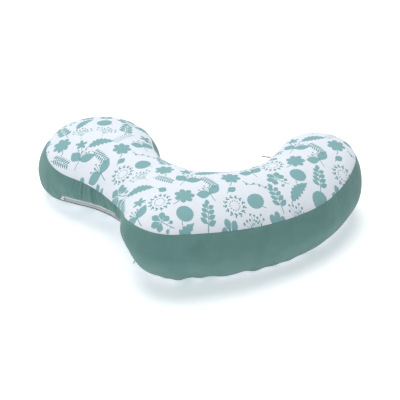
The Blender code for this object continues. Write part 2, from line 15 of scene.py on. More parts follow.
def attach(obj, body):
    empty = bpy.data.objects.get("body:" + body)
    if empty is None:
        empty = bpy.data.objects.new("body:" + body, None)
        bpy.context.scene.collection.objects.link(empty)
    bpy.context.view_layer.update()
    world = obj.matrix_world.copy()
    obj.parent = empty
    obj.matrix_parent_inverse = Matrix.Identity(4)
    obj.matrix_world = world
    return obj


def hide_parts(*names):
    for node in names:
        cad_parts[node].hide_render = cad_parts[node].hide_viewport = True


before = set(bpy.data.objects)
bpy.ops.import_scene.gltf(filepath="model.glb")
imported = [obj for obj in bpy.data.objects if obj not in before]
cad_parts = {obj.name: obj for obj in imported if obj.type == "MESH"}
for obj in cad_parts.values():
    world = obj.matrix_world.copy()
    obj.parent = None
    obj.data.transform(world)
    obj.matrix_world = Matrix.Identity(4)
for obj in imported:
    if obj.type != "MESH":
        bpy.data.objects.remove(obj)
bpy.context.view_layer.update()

# The fibre filling.
# Loose polyester fibre blown into the inner pillow until it is firm. It takes the shape of the case,
# so the seam lines that every layer of the pillow follows are worked out here.

MM = 0.001
DEG = math.pi / 180

# The upper seam in plan: three round ends, joined by arcs that meet them smoothly.
LOBE_CENTRE = (-203.4 * MM, 101.2 * MM)
LOBE_R = 110 * MM
BELLY_CENTRE = (-47.4 * MM, -131.8 * MM)
BELLY_R = 90 * MM
TIP_CENTRE = (238.6 * MM, 30.2 * MM)
TIP_R = 78 * MM
WAIST_R = 220 * MM
FRONT_R = 552 * MM
SHOULDER_R = 268 * MM
SHOULDER_TURN = -20 * DEG
OPENING_R = 140 * MM

# Heights of the upper and lower seams, how far the lower one lies in from the upper one, and how
# far the side bulges past the straight line between them, in mm.
SEAM_Z = {"lobe": 122, "waist": 107, "belly": 144, "shoulder": 124, "tip": 150, "opening": 119}
LOW_Z = {"lobe": 12, "belly": 16, "shoulder": 9, "tip": 11, "opening": 16}
LOW_INSET = {"lobe": -5, "belly": 27, "shoulder": 12, "tip": 2, "opening": 8}
BULGE = {"lobe": 23, "waist": 5, "belly": 27, "shoulder": 21, "tip": 20, "opening": 12}
LOW_HOLD = {"lobe": 0.70, "belly": 2.45}

# Over the waist the lower seam lies on the zip's circle, this far in and this high along it, in mm.
ZIP_MARKS = {"start": (13, 34), "middle": (26, 36), "end": (21, 41)}
ZIP_OVERRUN = 30 * MM
ZIP_SPARE = 6 * MM
ZIP_LEAD = 60 * MM
SLOT_H = 12.5 * MM
SLOT_RAMP = 22 * MM

# The top rises by CROWN in the middle of an arm CROWN_SPAN wide. The underside drops by DROP.
CROWN = 38 * MM
DROP = 30 * MM
CROWN_SPAN = 167 * MM
CROWN_POWER = 0.7
REST_SOFTNESS = 4 * MM

ARCS = ("lobe", "waist", "belly", "front", "shoulder", "tip", "opening")
MIDDLES = {"lobe": 0.5, "waist": 1.5, "belly": 2.5, "shoulder": 4.0, "tip": 5.5, "opening": 6.5}


def tangent_centre(circle_a, circle_b, radius, side):
    """Centre of the arc of this signed radius that meets both circles smoothly, on one side of a-b."""
    (a, radius_a), (b, radius_b) = circle_a, circle_b
    a, b = np.array(a), np.array(b)
    to_a, to_b = abs(radius - radius_a), abs(radius - radius_b)
    between = np.hypot(*(b - a))
    along = (between**2 + to_a**2 - to_b**2) / (2 * between)
    across = math.sqrt(max(to_a**2 - along**2, 0.0))
    unit = (b - a) / between
    return a + along * unit + side * across * np.array([-unit[1], unit[0]])


def seam_arcs():
    """(centre, signed radius) of each arc, counter-clockwise. A hollow arc's radius is negative."""
    lobe = (LOBE_CENTRE, LOBE_R)
    belly = (BELLY_CENTRE, BELLY_R)
    tip = (TIP_CENTRE, TIP_R)
    turn = np.array([math.cos(SHOULDER_TURN), math.sin(SHOULDER_TURN)])
    shoulder = (np.array(TIP_CENTRE) - (SHOULDER_R - TIP_R) * turn, SHOULDER_R)
    waist = (tangent_centre(lobe, belly, -WAIST_R, -1), -WAIST_R)
    front = (tangent_centre(belly, shoulder, FRONT_R, 1), FRONT_R)
    opening = (tangent_centre(tip, lobe, -OPENING_R, -1), -OPENING_R)
    return [lobe, waist, belly, front, shoulder, tip, opening]


def arc_spans(arcs):
    """(first angle, last angle) of each arc, as the direction of the outward normal."""
    ends = []
    for (a, radius_a), (b, radius_b) in zip(arcs, arcs[1:] + arcs[:1]):
        normal = (np.array(b) - np.array(a)) / (radius_a - radius_b)
        ends.append(math.atan2(normal[1], normal[0]))
    spans = []
    for i, (_, radius) in enumerate(arcs):
        first, last = ends[i - 1], ends[i]
        way = 1 if radius > 0 else -1
        spans.append((first, first + way * ((way * (last - first)) % (2 * math.pi))))
    return spans


SEAM = seam_arcs()
SPANS = arc_spans(SEAM)
LENGTHS = [abs(radius * (last - first)) for (_, radius), (first, last) in zip(SEAM, SPANS)]
STARTS = [sum(LENGTHS[:i]) for i in range(len(LENGTHS))]
ROUND = sum(LENGTHS)
ZIP_TO = 2.0 + ZIP_OVERRUN / LENGTHS[2]
ZIP_ARC = (1.0, ZIP_TO + ZIP_SPARE / LENGTHS[2])


def distance_of(station):
    """Metres along the seam from the first arc's start."""
    arc = int(station % len(ARCS))
    return STARTS[arc] + (station % 1.0) * LENGTHS[arc]


def station_of(distance):
    """The station at this many metres along the seam."""
    distance = distance % ROUND
    arc = max(i for i, start in enumerate(STARTS) if start <= distance)
    return arc + (distance - STARTS[arc]) / LENGTHS[arc]


def seam_point(station):
    """(point, outward normal) on the upper seam in plan."""
    arc = int(station % len(ARCS))
    (centre, radius), (first, last) = SEAM[arc], SPANS[arc]
    angle = first + (station % 1.0) * (last - first)
    normal = np.array([math.cos(angle), math.sin(angle)])
    return np.array(centre) + radius * normal, normal


def eased(share):
    share = min(max(share, 0.0), 1.0)
    return (1 - math.cos(math.pi * share)) / 2


def along(station, places):
    """The value at a station, eased between the (station, value) places on either side."""
    here = distance_of(station)
    marks = sorted((distance_of(place), value) for place, value in places)
    marks = [(marks[-1][0] - ROUND, marks[-1][1])] + marks + [(marks[0][0] + ROUND, marks[0][1])]
    for (start, before), (end, after) in zip(marks, marks[1:]):
        if start <= here <= end:
            return before + (after - before) * eased((here - start) / (end - start))
    return marks[0][1]


def circle_through(a, b, c):
    """(centre, axis, radius) of the circle through three points. Its axis points up."""
    u, v = b - a, c - a
    axis = np.cross(u, v)
    to_centre = np.cross(axis, u) * float(v @ v) + np.cross(v, axis) * float(u @ u)
    to_centre /= 2 * float(axis @ axis)
    axis *= math.copysign(1 / np.linalg.norm(axis), axis[2])
    return a + to_centre, axis, float(np.linalg.norm(to_centre))


def zip_circle():
    marks = []
    for station, name in ((ZIP_ARC[0], "start"), (1.5, "middle"), (ZIP_ARC[1], "end")):
        point, normal = seam_point(station)
        inset, height = (value * MM for value in ZIP_MARKS[name])
        marks.append(np.array([*(point - inset * normal), height]))
    return circle_through(*marks)


ZIP_CENTRE, ZIP_AXIS, ZIP_R = zip_circle()


def on_zip_arc(station):
    return ZIP_ARC[0] <= station % len(ARCS) <= ZIP_ARC[1]


def zip_arc_point(station):
    """(inset, height) where the zip's circle crosses the upright plane along the seam's normal."""
    point, normal = seam_point(station)
    start = np.array([*point, 0.0]) - ZIP_CENTRE
    start[2] = -float(start[:2] @ ZIP_AXIS[:2]) / ZIP_AXIS[2]
    step = np.array([*-normal, float(normal @ ZIP_AXIS[:2]) / ZIP_AXIS[2]])
    a, b, c = float(step @ step), float(start @ step), float(start @ start) - ZIP_R**2
    inset = (-b + math.sqrt(b * b - a * c)) / a
    return inset, ZIP_CENTRE[2] + start[2] + inset * step[2]


def low_seam(station, values, part):
    """The lower seam's inset (part 0) or height (part 1): on the zip's circle, or eased between places."""
    if on_zip_arc(station):
        return zip_arc_point(station)[part]
    places = [(MIDDLES[name], values[name] * MM) for name in ("lobe", "shoulder", "tip", "opening")]
    places += [(LOW_HOLD[name], values[name] * MM) for name in ("lobe", "belly")]
    places += [(end, zip_arc_point(end)[part]) for end in ZIP_ARC]
    return along(station, places)


def seam_z(station):
    return along(station, [(MIDDLES[name], value * MM) for name, value in SEAM_Z.items()])


def low_z(station):
    return low_seam(station, LOW_Z, 1)


def low_inset(station):
    return low_seam(station, LOW_INSET, 0)


def bulge(station):
    return along(station, [(MIDDLES[name], value * MM) for name, value in BULGE.items()])


def zip_start():
    """Where the zip's slot begins, on the lobe."""
    return station_of(distance_of(1.0) - ZIP_LEAD)


def slot_height(station):
    """The slot for the zip, which closes over SLOT_RAMP at each end."""
    here = distance_of(station)
    first = distance_of(zip_start())
    last = distance_of(ZIP_TO) + SLOT_RAMP
    return SLOT_H * eased((here - first) / SLOT_RAMP) * eased((last - here) / SLOT_RAMP)


def out_from(station, distance, z):
    """A point this far outside the upper seam."""
    point, normal = seam_point(station)
    return (*(point + distance * normal), z)


RIM_STEP = 3.4 * MM
RIM_COUNT = round(ROUND / RIM_STEP)
RIM = [station_of(k * ROUND / RIM_COUNT) for k in range(RIM_COUNT)]


def crumple(where, pitch, seed, shear=0.0):
    """Irregular waves of about this pitch, from -1 to 1, that drift sideways as shear grows."""
    dice = np.random.default_rng(seed)
    total = 0.0
    for ratio in (0.62, 0.8, 1.0, 1.27, 1.7):
        phase, drift = dice.uniform(0, 2 * math.pi), dice.uniform(-1.0, 1.0)
        total = total + np.cos(2 * math.pi * where / (pitch * ratio) + phase + drift * shear)
    return total / 3.2


def window(station, first, last, soft=0.08):
    """1 between two stations, easing to 0 within soft of them."""
    return eased((station - first) / soft + 0.5) * eased((last - station) / soft + 0.5)


def hem_wave(station):
    """The lower seam isn't quite level under the belly and the front: the band is a little full there."""
    here = distance_of(station)
    depth = 2.2 * MM * window(station, 2.55, 3.9, 0.3) + 0.7 * MM
    return depth * float(crumple(here, 62 * MM, 5)) * (1 - window(station, 0.8, 2.4, 0.2))


def field_inside(loop, values):
    """Smooth fields over the inside of a loop that meet these values on it, without a peak of their own."""
    ahead = np.roll(loop, -1, axis=0) - np.roll(loop, 1, axis=0)
    outward = np.stack([ahead[:, 1], -ahead[:, 0]], axis=1)
    outward /= np.linalg.norm(outward, axis=1)[:, None]
    sources = (loop + 26 * MM * outward)[::3]

    def terms(at):
        square = ((at[:, None, :] - sources[None]) ** 2).sum(axis=2)
        return np.hstack([0.5 * np.log(square), np.ones((len(at), 1))])

    weights = np.linalg.lstsq(terms(loop), values, rcond=1e-10)[0]
    return lambda at: terms(at) @ weights


def panel_surface(upper, inset):
    """(rim in plan, its heights, height at any point) of a top or bottom panel this far inside the cover."""
    rim = [out_from(s, (0.0 if upper else -low_inset(s)) - inset, 0.0)[:2] for s in RIM]
    rim = np.array(rim)
    edge = np.array([seam_z(s) - inset if upper else low_z(s) + hem_wave(s) + inset for s in RIM])
    fields = field_inside(rim, np.stack([(rim**2).sum(axis=1) / 4, edge], axis=1))

    def height(at):
        bowl, level = fields(at).T
        film = np.maximum(bowl - (at**2).sum(axis=1) / 4, 0.0)
        swell = film / (CROWN_SPAN**2 / 8)
        if upper:
            return level + CROWN * swell**CROWN_POWER
        low = level - inset - DROP * swell
        return inset + (low + np.sqrt(low**2 + REST_SOFTNESS**2)) / 2

    return rim, edge, height


def inside(points, loop):
    """Which points lie inside a closed loop."""
    a, b = loop, np.roll(loop, -1, axis=0)
    x, y = points[:, 0:1], points[:, 1:2]
    spans = (a[:, 1] > y) != (b[:, 1] > y)
    with np.errstate(divide="ignore", invalid="ignore"):
        cross = a[:, 0] + (y - a[:, 1]) * (b[:, 0] - a[:, 0]) / (b[:, 1] - a[:, 1])
    return (spans & (x < cross)).sum(axis=1) % 2 == 1


def cut_panel(rim, rings, spacing, shapes=()):
    """Triangles over a panel's plan, with shapes cut in: (points, triangles, each one's shape number)."""
    ahead = np.roll(rim, -1, axis=0) - np.roll(rim, 1, axis=0)
    inward = np.stack([-ahead[:, 1], ahead[:, 0]], axis=1)
    inward /= np.linalg.norm(inward, axis=1)[:, None]
    flat = [*rim]
    for depth in rings:
        flat += [*(rim + depth * inward)]
    last = rim + (rings[-1] + 0.7 * spacing) * inward
    low, high = rim.min(axis=0), rim.max(axis=0)
    across = np.arange(low[0], high[0], spacing)
    up = np.arange(low[1], high[1], spacing * 0.866)
    grid = np.array([(x + (j % 2) * spacing / 2, y) for j, y in enumerate(up) for x in across])
    flat += [*grid[inside(grid, last)]]
    faces = [list(range(len(rim)))]
    for outline in shapes:
        ahead = np.roll(outline, -1, axis=0)
        if (outline[:, 0] * ahead[:, 1] - outline[:, 1] * ahead[:, 0]).sum() < 0:
            outline = outline[::-1]
        faces.append(list(range(len(flat), len(flat) + len(outline))))
        flat += [*outline]
    points, _, found, _, _, sources = delaunay_2d_cdt([Vector(p) for p in flat], [], faces, 1, 1e-7)
    kept = [(t, s) for t, s in zip(found, sources) if 0 in s]
    numbers = [max(s) for _, s in kept]
    triangles = np.array([t for t, _ in kept])
    used = np.unique(np.append(np.arange(len(rim)), triangles))
    kept_points = np.array([tuple(points[k]) for k in used])
    return kept_points, np.searchsorted(used, triangles).tolist(), np.array(numbers)


def make_piece(name, points, faces, body, slot, material):
    """A smooth mesh that rides on a body, in the given material. The slot is not used."""
    mesh = bpy.data.meshes.new(name)
    mesh.from_pydata([tuple(p) for p in points], [], [tuple(f) for f in faces])
    mesh.validate()
    mesh.shade_smooth()
    piece = bpy.data.objects.new(name, mesh)
    bpy.context.scene.collection.objects.link(piece)
    mesh.materials.append(material)
    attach(piece, body)
    return piece


def band_rows(station, shares, inset, edge_z, folds=None):
    """Points down the side at these shares of the way from the upper seam to the band's edge."""
    top_z = seam_z(station) - inset
    out = bulge(station) * 4 * shares * (1 - shares) - low_inset(station) * shares - inset
    z = top_z + (edge_z - top_z) * shares
    if folds is not None:
        out, z = out + folds[0], z + folds[1]
    point, normal = seam_point(station)
    return np.column_stack([point + out[:, None] * normal, z])


def linear(code):
    """An sRGB hex colour as linear RGBA."""
    parts = [int(code[k : k + 2], 16) / 255 for k in (0, 2, 4)]
    return (*[p / 12.92 if p <= 0.04045 else ((p + 0.055) / 1.055) ** 2.4 for p in parts], 1.0)


def material_of(name, colour, roughness, **sockets):
    """A material with its shader's constant sockets set. Returns it with its nodes' tree and the shader."""
    material = bpy.data.materials.new(name)
    material.use_nodes = True
    shader = material.node_tree.nodes["Principled BSDF"]
    settings = {"Base Color": linear(colour), "Roughness": roughness, "Metallic": 0.0, **sockets}
    for socket, value in settings.items():
        shader.inputs[socket.replace("_", " ")].default_value = value
    return material, material.node_tree, shader


def add_node(tree, kind, inputs=None, **settings):
    """Adds a node. inputs gives a value, or another node's output, for each socket by name or number."""
    node = tree.nodes.new("ShaderNode" + kind)
    for key, value in settings.items():
        setattr(node, key, value)
    for key, value in (inputs or {}).items():
        if isinstance(value, bpy.types.NodeSocket):
            tree.links.new(value, node.inputs[key])
        else:
            node.inputs[key].default_value = value
    return node


def grain(tree, shader, noise, strength, distance):
    """Raises a fine noise over the piece."""
    place = add_node(tree, "TexCoord")
    rough = add_node(tree, "TexNoise", {"Vector": place.outputs["Object"], **noise})
    relief = {"Height": rough.outputs["Fac"], "Strength": strength, "Distance": distance}
    tree.links.new(add_node(tree, "Bump", relief).outputs["Normal"], shader.inputs["Normal"])


# Polyester fibre, carded and blown: white, matt and uneven like wool.
fibre, tree, shader = material_of("carded_polyester_fibre", "F1F0EC", 1.0, IOR=1.54)
grain(tree, shader, {"Scale": 400.0, "Detail": 6.0}, 0.8, 2 * MM)

FILL_INSET = 6.5 * MM
INNER_RINGS = (10 * MM,)
INNER_SPACING = 26 * MM
SIDE_SHARES = np.linspace(0.0, 1.0, 13)
INNER_FOOT = 3 * MM


def inner_shell(inset):
    """The top, side and bottom of an inner layer: each as (points, faces)."""
    parts = []
    edges = []
    for upper in (True, False):
        rim, edge, height = panel_surface(upper, inset)
        points, faces, _ = cut_panel(rim, INNER_RINGS, INNER_SPACING)
        z = height(points)
        z[: len(rim)] = edge
        parts.append((np.column_stack([points, z]), faces if upper else [f[::-1] for f in faces]))
        edges.append(edge)
    columns = []
    for station, edge_z in zip(RIM, edges[1]):
        foot_z = edge_z + slot_height(station) + INNER_FOOT
        rows = band_rows(station, SIDE_SHARES[:-1], inset, foot_z)
        point, normal = seam_point(station)
        low = point - (low_inset(station) + inset) * normal
        columns.append([*rows, (*low, foot_z), (*low, edge_z)])
    depth = len(columns[0])
    side = np.array(columns).reshape(-1, 3)
    quads = []
    for i in range(RIM_COUNT):
        j = (i + 1) % RIM_COUNT
        a, b = i * depth, j * depth
        quads += [(a + k + 1, b + k + 1, b + k, a + k) for k in range(depth - 1)]
    return [parts[0], (side, quads), parts[1]]


points, faces = [], []
for part_points, part_faces in inner_shell(FILL_INSET):
    faces += [tuple(len(points) + i for i in f) for f in part_faces]
    points += [tuple(p) for p in part_points]
fill = make_piece("filling", points, faces, "pillow", "polyester_fibre", fibre)
weld = fill.modifiers.new("weld", "WELD")
weld.merge_threshold = 0.2 * MM
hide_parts("fibre_fill")

# The inner case.
# Two panels and a long band of plain white cotton, sewn closed round the fibre. It stays in the cover
# in use and comes out when the cover is washed.

LINER_INSET = 5 * MM

# Bleached cotton calico, plain woven: matt white, with a faint square weave.
calico, tree, shader = material_of("bleached_cotton_calico", "ECEDEE", 0.92, IOR=1.53)
grain(tree, shader, {"Scale": 900.0, "Detail": 3.0}, 0.3, 0.3 * MM)

LINER = (
    ("liner_top", "liner_top_panel"),
    ("liner_side", "liner_band"),
    ("liner_bottom", "liner_bottom_panel"),
)
for (name, node), (points, faces) in zip(LINER, inner_shell(LINER_INSET)):
    piece = make_piece(name, points, faces, "pillow", "liner_cotton", calico)
    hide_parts(node)

# The printed panels.
# The cover's top and underside: white cotton printed with a scatter of leaves in one sage green, cut to
# the pillow's outline and sewn to the side band. The print is cut into the cloth's mesh, so it stays sharp.

PRINT_TILE = (214 * MM, 246 * MM)
PRINT_COLUMNS = 5
PRINT_ROWS = 6
LEAF_INK, DARK_INK, PALE_INK = 2, 3, 1


def ribbon(path, width, taper=1.0):
    """A thin stroke along a path, as one outline."""
    path = np.array(path, float)
    ahead = np.gradient(path, axis=0)
    side = np.stack([-ahead[:, 1], ahead[:, 0]], axis=1)
    side /= np.linalg.norm(side, axis=1)[:, None] + 1e-12
    half = (width / 2) * np.linspace(1.0, taper, len(path))[:, None]
    return np.vstack([path + side * half, (path - side * half)[::-1]])


def blade(base, angle, length, width, belly=0.42, steps=7):
    """A pointed leaf from its base. belly is how far along it is widest."""
    share = np.linspace(0.0, 1.0, steps + 2)[1:-1]
    half = width / 2 * np.sin(math.pi * share ** (math.log(0.5) / math.log(belly)))
    up = np.stack([share * length, half], axis=1)
    down = np.stack([share * length, -half], axis=1)[::-1]
    outline = np.vstack([[(0.0, 0.0)], up, [(length, 0.0)], down])
    turn = np.array([[math.cos(angle), math.sin(angle)], [-math.sin(angle), math.cos(angle)]])
    return outline @ turn + np.array(base)


def dot(at, radius, sides=8):
    angles = np.arange(sides) * 2 * math.pi / sides
    return np.array(at) + radius * np.stack([np.cos(angles), np.sin(angles)], axis=1)


def round_leaf():
    """A round leaf with a toothed edge and a short stalk."""
    steps = 36
    angles = np.arange(steps) * 2 * math.pi / steps
    radius = 15.0 * (1 + 0.07 * (np.arange(steps) % 2)) * (1 + 0.05 * np.cos(2 * angles + 0.6))
    leaf = np.stack([radius * np.cos(angles), radius * np.sin(angles)], axis=1)
    return [(leaf, LEAF_INK), (ribbon([(0, -14), (1, -18), (3, -22)], 1.6), LEAF_INK)]


def lobed_leaf(lobes, reach, waist, sharp, spread=2 * math.pi, start=math.pi / 2):
    steps = 10 * lobes
    angles = start - spread / 2 + np.arange(steps) * spread / steps
    wave = np.abs(np.cos(lobes * (angles - start) * math.pi / spread))
    radius = reach * (waist + (1 - waist) * wave**sharp)
    return np.stack([radius * np.cos(angles), radius * np.sin(angles)], axis=1)


def flower_leaf():
    """Seven broad lobes round a middle, on a stalk."""
    shapes = [(lobed_leaf(7, 19.0, 0.66, 0.7), LEAF_INK)]
    shapes.append((ribbon([(0, -14), (-2, -24), (-5, -29)], 1.8), LEAF_INK))
    return shapes


def hand_leaf():
    """Five round fingers on a stalk with two buds."""
    shapes = []
    for k, length in enumerate((17.0, 20.0, 22.0, 20.0, 17.0)):
        shapes.append((blade((0, 0), (90 + 56 * (k - 2)) * DEG, length, 12.5, 0.66), LEAF_INK))
    shapes.append((ribbon([(0, 0), (1, -12), (5, -26)], 1.6), LEAF_INK))
    shapes.append((dot((9, -15), 3.6, 10), LEAF_INK))
    shapes.append((dot((-6, -19), 3.2, 10), LEAF_INK))
    shapes.append((ribbon([(1, -11), (8, -14)], 1.0), LEAF_INK))
    shapes.append((ribbon([(3, -20), (-5, -19)], 1.0), LEAF_INK))
    return shapes


def feather_leaf():
    """A long leaf with a wavy, notched edge."""
    share = np.linspace(0.0, 1.0, 45)[1:-1]
    half = 11.0 * np.sin(math.pi * share**0.85) ** 0.7 * (0.62 + 0.38 * np.abs(np.sin(6.5 * math.pi * share)))
    x, bend = 52 * share - 26, 4.0 * np.sin(math.pi * share)
    up = np.stack([x, bend + half], axis=1)
    down = np.stack([x, bend - half], axis=1)[::-1]
    outline = np.vstack([[(-26.0, 0.0)], up, [(28.0, 0.0)], down])
    return [(outline, LEAF_INK), (ribbon([(-26, 0), (-32, -3)], 1.8), LEAF_INK)]


def pair_spray():
    """Two big leaves and a head of small berries on one stalk."""
    shapes = [(blade((0, 0), 8 * DEG, 33, 19, 0.45, 9), LEAF_INK)]
    shapes.append((blade((0, 0), 128 * DEG, 27, 21, 0.5, 9), LEAF_INK))
    for k in range(7):
        angle = (38 + 10 * k) * DEG
        tip = (24 * math.cos(angle) + (k % 2) * 3, 24 * math.sin(angle) - (k % 3) * 3)
        shapes.append((ribbon([(0, 0), (tip[0] * 0.5, tip[1] * 0.55), tip], 0.9), DARK_INK))
        shapes.append((dot(tip, 1.8), DARK_INK))
    shapes.append((ribbon([(0, 0), (-6, -9), (-9, -16)], 1.5), LEAF_INK))
    return shapes


def leaflet_sprig():
    """A stalk with four pairs of leaflets and one at its tip."""
    shapes = [(ribbon([(0, -29), (1, -10), (0, 8), (-1, 20)], 1.5), LEAF_INK)]
    for k in range(4):
        y, length = -17 + 10 * k, 17 - 1.6 * k
        shapes.append((blade((0.4, y), 34 * DEG, length, 9.0, 0.5), LEAF_INK))
        shapes.append((blade((-0.4, y + 2), 146 * DEG, length, 9.0, 0.5), LEAF_INK))
    shapes.append((blade((-1, 19), 94 * DEG, 14, 9.0, 0.5), LEAF_INK))
    return shapes


def fern_twig():
    """A stalk with short straight bars on both sides."""
    shapes = [(ribbon([(-24, -3), (-8, 1), (8, 2), (24, 0)], 1.1), DARK_INK)]
    for k in range(8):
        x = -18 + 5.3 * k
        length = 11 - 0.6 * abs(k - 3)
        shapes.append((blade((x, 1.2), 62 * DEG, length, 3.4), DARK_INK))
        shapes.append((blade((x + 1.5, 0.4), -58 * DEG, length, 3.4), DARK_INK))
    return shapes


def berry_branch():
    """A fine spreading branch with a berry at every tip."""
    shapes = []
    for k in range(9):
        angle = (-58 + 14.5 * k) * DEG
        reach = 21 + 6 * ((k * 5) % 3) / 2
        middle = (reach * 0.5 * math.sin(angle), reach * 0.6 * math.cos(angle) - 8)
        tip = (reach * math.sin(angle), reach * math.cos(angle) - 8)
        shapes.append((ribbon([(0, -22), (0, -10), middle, tip], 1.0), PALE_INK))
        shapes.append((dot(tip, 2.0), DARK_INK))
        shapes.append((dot((middle[0] + 2.4, middle[1] + 1.5), 1.5), DARK_INK))
    return shapes


def dotted_wreath():
    """A ring of short strokes and berries."""
    shapes = []
    for k in range(13):
        angle = k * 2 * math.pi / 13
        at = (15 * math.cos(angle), 15 * math.sin(angle))
        shapes.append((blade(at, angle + 70 * DEG, 8.5, 3.6), DARK_INK))
        far = (20.5 * math.cos(angle + 0.2), 20.5 * math.sin(angle + 0.2))
        shapes.append((dot(far, 1.7), DARK_INK))
        near = (9.5 * math.cos(angle + 0.3), 9.5 * math.sin(angle + 0.3))
        shapes.append((dot(near, 1.3), DARK_INK))
    return shapes


def small_star_leaf():
    """A small pointed leaf of five lobes."""
    return [(lobed_leaf(5, 13.0, 0.42, 1.5), LEAF_INK), (ribbon([(0, -6), (2, -15)], 1.4), LEAF_INK)]


def oval_leaf():
    return [(blade((-10, 0), 0.0, 20, 14, 0.5, 9), LEAF_INK), (ribbon([(-9, 0), (-14, -2)], 1.3), LEAF_INK)]


def wavy_twig():
    """A wavy stalk with small leaves standing off it."""
    x = np.linspace(-24, 24, 13)
    shapes = [(ribbon(np.stack([x, 3.5 * np.sin(x / 6.0)], axis=1), 1.8, 0.6), DARK_INK)]
    for k in (2, 5, 8, 11):
        side = 1 if k % 2 else -1
        shapes.append((blade((x[k], 3.5 * math.sin(x[k] / 6.0)), side * 60 * DEG, 8, 3.6), DARK_INK))
    return shapes


def ghost_sprig():
    """A pale, wide sprig of thin leaves, printed faintly behind the rest."""
    shapes = [(ribbon([(-26, 0), (0, 3), (26, 0)], 1.0), PALE_INK)]
    for k in range(9):
        x = -22 + 5.5 * k
        shapes.append((blade((x, 2), (70 - 3 * k) * DEG, 11, 2.8), PALE_INK))
        shapes.append((blade((x, 2), (-70 + 3 * k) * DEG, 9, 2.8), PALE_INK))
    return shapes


MOTIFS = (
    (round_leaf, leaflet_sprig, pair_spray, fern_twig, feather_leaf, berry_branch),
    (hand_leaf, dotted_wreath, oval_leaf, flower_leaf, ghost_sprig, leaflet_sprig),
    (feather_leaf, berry_branch, round_leaf, wavy_twig, pair_spray, small_star_leaf),
    (fern_twig, flower_leaf, leaflet_sprig, hand_leaf, dotted_wreath, oval_leaf),
    (pair_spray, small_star_leaf, berry_branch, feather_leaf, round_leaf, flower_leaf),
)


def spread_out(at, radii):
    """Moves one tile's motifs apart until they hardly touch. Each column of tiles is half a tile lower."""
    width, height = PRINT_TILE
    for _ in range(80):
        apart = at[:, None] - at[None]
        columns = np.round(apart[..., 0] / width)
        apart = apart - columns[..., None] * np.array([width, height / 2])
        apart[..., 1] -= np.round(apart[..., 1] / height) * height
        gap = np.linalg.norm(apart, axis=2) + np.eye(len(at))
        overlap = np.clip(radii[:, None] + radii[None] - gap, 0.0, None) * (1 - np.eye(len(at)))
        at = at + 0.3 * (apart / gap[..., None] * overlap[..., None]).sum(axis=1)
    return at


def leaf_print(low, high, seed):
    """The scatter over a rectangle: outlines in metres and the ink of each."""
    dice = np.random.default_rng(seed)
    column_w, row_h = PRINT_TILE[0] / PRINT_COLUMNS, PRINT_TILE[1] / PRINT_ROWS
    places = [(i, j) for i in range(PRINT_COLUMNS) for j in range(PRINT_ROWS)]
    motifs = [MOTIFS[i][j]() for i, j in places]
    at = [((i + 0.5) * column_w, (j + 0.5 + (i % 2) / 2) * row_h) for i, j in places]
    spans = [np.ptp(np.vstack([outline for outline, _ in shapes]), axis=0) for shapes in motifs]
    at = spread_out(np.array(at), np.array([1.08 * math.sqrt(w * h) / 2 for w, h in spans]) * MM)
    turns = dice.uniform(-60 * DEG, 60 * DEG, len(motifs))
    outlines, inks = [], []
    for tile_x in range(math.floor(low[0] / PRINT_TILE[0]) - 1, math.ceil(high[0] / PRINT_TILE[0]) + 1):
        for tile_y in range(math.floor(low[1] / PRINT_TILE[1]) - 1, math.ceil(high[1] / PRINT_TILE[1]) + 1):
            corner = np.array([tile_x, tile_y + (tile_x % 2) / 2]) * PRINT_TILE
            for shapes, place, turn in zip(motifs, at, turns):
                spin = np.array([[math.cos(turn), math.sin(turn)], [-math.sin(turn), math.cos(turn)]])
                for outline, ink in shapes:
                    outlines.append((outline * MM) @ spin + place + corner)
                    inks.append(ink)
    return outlines, inks


# Cotton poplin, plain woven and printed in one green: matt, with a fine square weave that shows close up.
# The threads are 0.3 mm apart and are drawn 0.8 mm apart, as they would otherwise be too fine to see.
BLOOM = {"IOR": 1.53, "Sheen_Weight": 0.12, "Sheen_Roughness": 0.5}
poplin, tree, shader = material_of("printed_cotton_poplin", "DADFE6", 0.88, **BLOOM)
place = add_node(tree, "TexCoord")
ink_of = add_node(tree, "Attribute", attribute_name="ink")
ink_ramp = add_node(tree, "ValToRGB", {"Fac": ink_of.outputs["Fac"]})
ink_ramp.color_ramp.interpolation = "CONSTANT"
stops = ((0.0, "DADFE6"), (0.25, "A9BEC3"), (0.55, "7AA5A8"), (0.85, "6A979B"))
for k, (share, code) in enumerate(stops):
    stop = ink_ramp.color_ramp.elements[k] if k < 2 else ink_ramp.color_ramp.elements.new(share)
    stop.position, stop.color = share, linear(code)
cloud = add_node(tree, "TexNoise", {"Vector": place.outputs["Object"], "Scale": 35.0, "Detail": 4.0})
mottle = add_node(tree, "MapRange", {"Value": cloud.outputs["Fac"], "To Min": 0.94, "To Max": 1.03})
tints = {"Fac": 1.0, "Color1": ink_ramp.outputs["Color"], "Color2": mottle.outputs["Result"]}
tint = add_node(tree, "MixRGB", tints, blend_type="MULTIPLY")
tree.links.new(tint.outputs["Color"], shader.inputs["Base Color"])
WEAVE_SCALE = 2 * math.pi / (0.8 * MM) / 20


def square_weave(tree, shader, across):
    """Raises the square weave of poplin across these coordinates."""
    wave = {"Vector": across, "Scale": WEAVE_SCALE}
    warp = add_node(tree, "TexWave", wave, bands_direction="X")
    weft = add_node(tree, "TexWave", wave, bands_direction="Y")
    threads = add_node(tree, "Math", {0: warp.outputs["Fac"], 1: weft.outputs["Fac"]}, operation="MULTIPLY")
    relief = {"Height": threads.outputs["Value"], "Strength": 0.35, "Distance": 0.15 * MM}
    tree.links.new(add_node(tree, "Bump", relief).outputs["Normal"], shader.inputs["Normal"])


square_weave(tree, shader, place.outputs["Object"])

PANEL_RINGS = (1.2 * MM, 3.2 * MM, 6.5 * MM, 10.5 * MM, 15.5 * MM, 21.5 * MM)
PANEL_SPACING = 9 * MM


